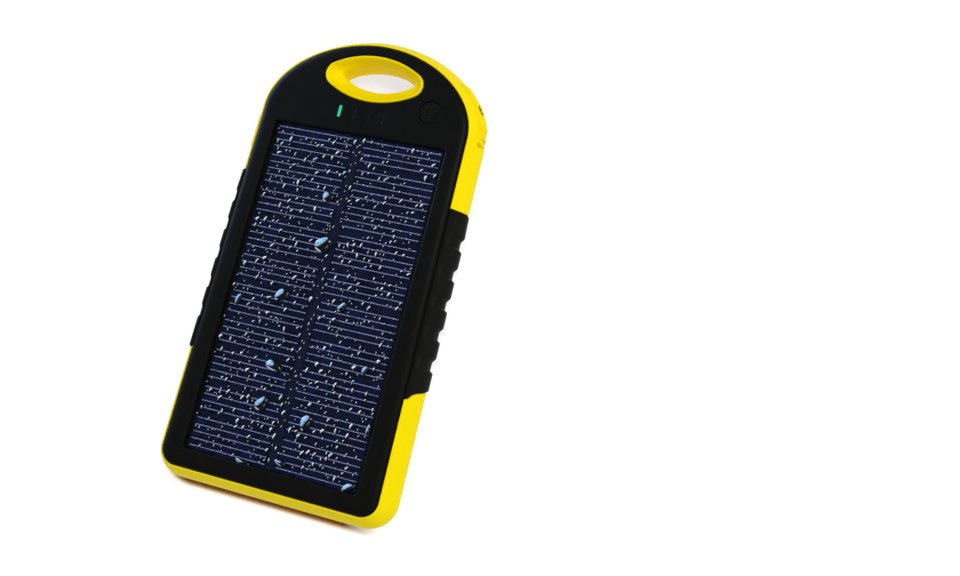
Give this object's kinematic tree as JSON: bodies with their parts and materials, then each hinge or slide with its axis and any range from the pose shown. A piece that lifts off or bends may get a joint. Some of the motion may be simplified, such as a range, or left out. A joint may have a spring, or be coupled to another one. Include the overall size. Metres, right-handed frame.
{
  "type": "solar power bank",
  "caption": "Flat rugged solar phone charger: domed top with a hanging eye, two-column solar face, finger-notched side grips, capped ports and a power button.",
  "frame": {"origin": "centre of the back's bounding rectangle, on the face it lies on", "axes": "+Z out of the solar face, +Y along the length towards the hanging eye, +X to the right seen from the solar face"},
  "size_m": [0.0754, 0.142, 0.0131],
  "materials": {
    "yellow_plastic": "satin",
    "yellow_silicone": "matte",
    "black_cover": "rubberised, fine grain",
    "black_rubber": "matte",
    "silicon_cells": "dark blue cells",
    "panel_resin": "clear resin sheet",
    "circuit_board": "solder mask",
    "chip_black": "moulded",
    "ferrite": "sintered",
    "steel": "plated",
    "battery_foil": "laminated foil",
    "foam": "foam",
    "white_plastic": "moulded",
    "clear_plastic": "clear",
    "green_plastic": "lit green",
    "wire_red": "insulation",
    "wire_black": "insulation"
  },
  "bodies": {
    "housing": {"front_cover": "black_cover", "mid_frame": "yellow_plastic", "rear_cover": "black_cover", "eye_ring": "yellow_plastic", "grip_right": "black_rubber", "grip_left": "black_rubber", "cover_gasket": "black_rubber", "panel_substrate": "circuit_board", "cell_string_left": "silicon_cells", "cell_string_right": "silicon_cells", "panel_sheet": "panel_resin", "battery_pouch": "battery_foil", "battery_pad": "foam", "protection_board": "circuit_board", "battery_wire_positive": "wire_red", "battery_wire_negative": "wire_black", "panel_wire_positive": "wire_red", "panel_wire_negative": "wire_black", "main_board": "circuit_board", "boost_inductor": "ferrite", "controller_chip": "chip_black", "charger_chip": "chip_black", "bulk_capacitor": "ferrite", "switch_body": "steel", "light_pipe_1": "green_plastic", "light_pipe_2": "clear_plastic", "light_pipe_3": "clear_plastic", "light_pipe_4": "clear_plastic", "indicator_led_1": "white_plastic", "indicator_led_2": "white_plastic", "indicator_led_3": "white_plastic", "indicator_led_4": "white_plastic", "usb_shell_right": "steel", "usb_shell_left": "steel", "usb_shell_micro": "steel", "usb_tongue_right": "white_plastic", "usb_tongue_left": "white_plastic", "usb_tongue_micro": "chip_black", "flap_pin_right": "steel", "flap_pin_left": "steel", "flap_pin_micro": "steel", "torch_led": "clear_plastic", "torch_lens": "clear_plastic", "screw_right_1": "steel", "screw_right_2": "steel", "screw_right_3": "steel", "screw_right_4": "steel", "screw_left_1": "steel", "screw_left_2": "steel", "screw_left_3": "steel", "screw_left_4": "steel"},
    "button": {"power_button": "black_rubber"},
    "plunger": {"switch_plunger": "chip_black"},
    "flap_right": {"port_flap_right": "yellow_silicone"},
    "flap_left": {"port_flap_left": "yellow_silicone"},
    "flap_micro": {"port_flap_micro": "yellow_silicone"}
  },
  "joints": [
    {"name": "power_press", "type": "slide", "parent": "housing", "child": "button", "axis": [0, 0, -1], "range_m": [0, 0.0004], "stiffness_N_per_m": 1500},
    {"name": "switch_press", "type": "slide", "parent": "housing", "child": "plunger", "axis": [0, 0, -1], "range_m": [0, 0.00025]},
    {"name": "right_flap_hinge", "type": "hinge", "parent": "housing", "child": "flap_right", "pos_m": [0.03406, 0.04538, 0.00525], "axis": [0, 0, -1], "range_deg": [0, 90]},
    {"name": "left_flap_hinge", "type": "hinge", "parent": "housing", "child": "flap_left", "pos_m": [-0.03406, 0.04538, 0.00525], "axis": [0, 0, 1], "range_deg": [0, 90]},
    {"name": "micro_flap_hinge", "type": "hinge", "parent": "housing", "child": "flap_micro", "pos_m": [-0.03416, 0.02877, 0.00525], "axis": [0, 0, 1], "range_deg": [0, 90]}
  ],
  "couplings": [
    {"joint": "switch_press", "follows": "power_press", "ratio": 0.6}
  ]
}
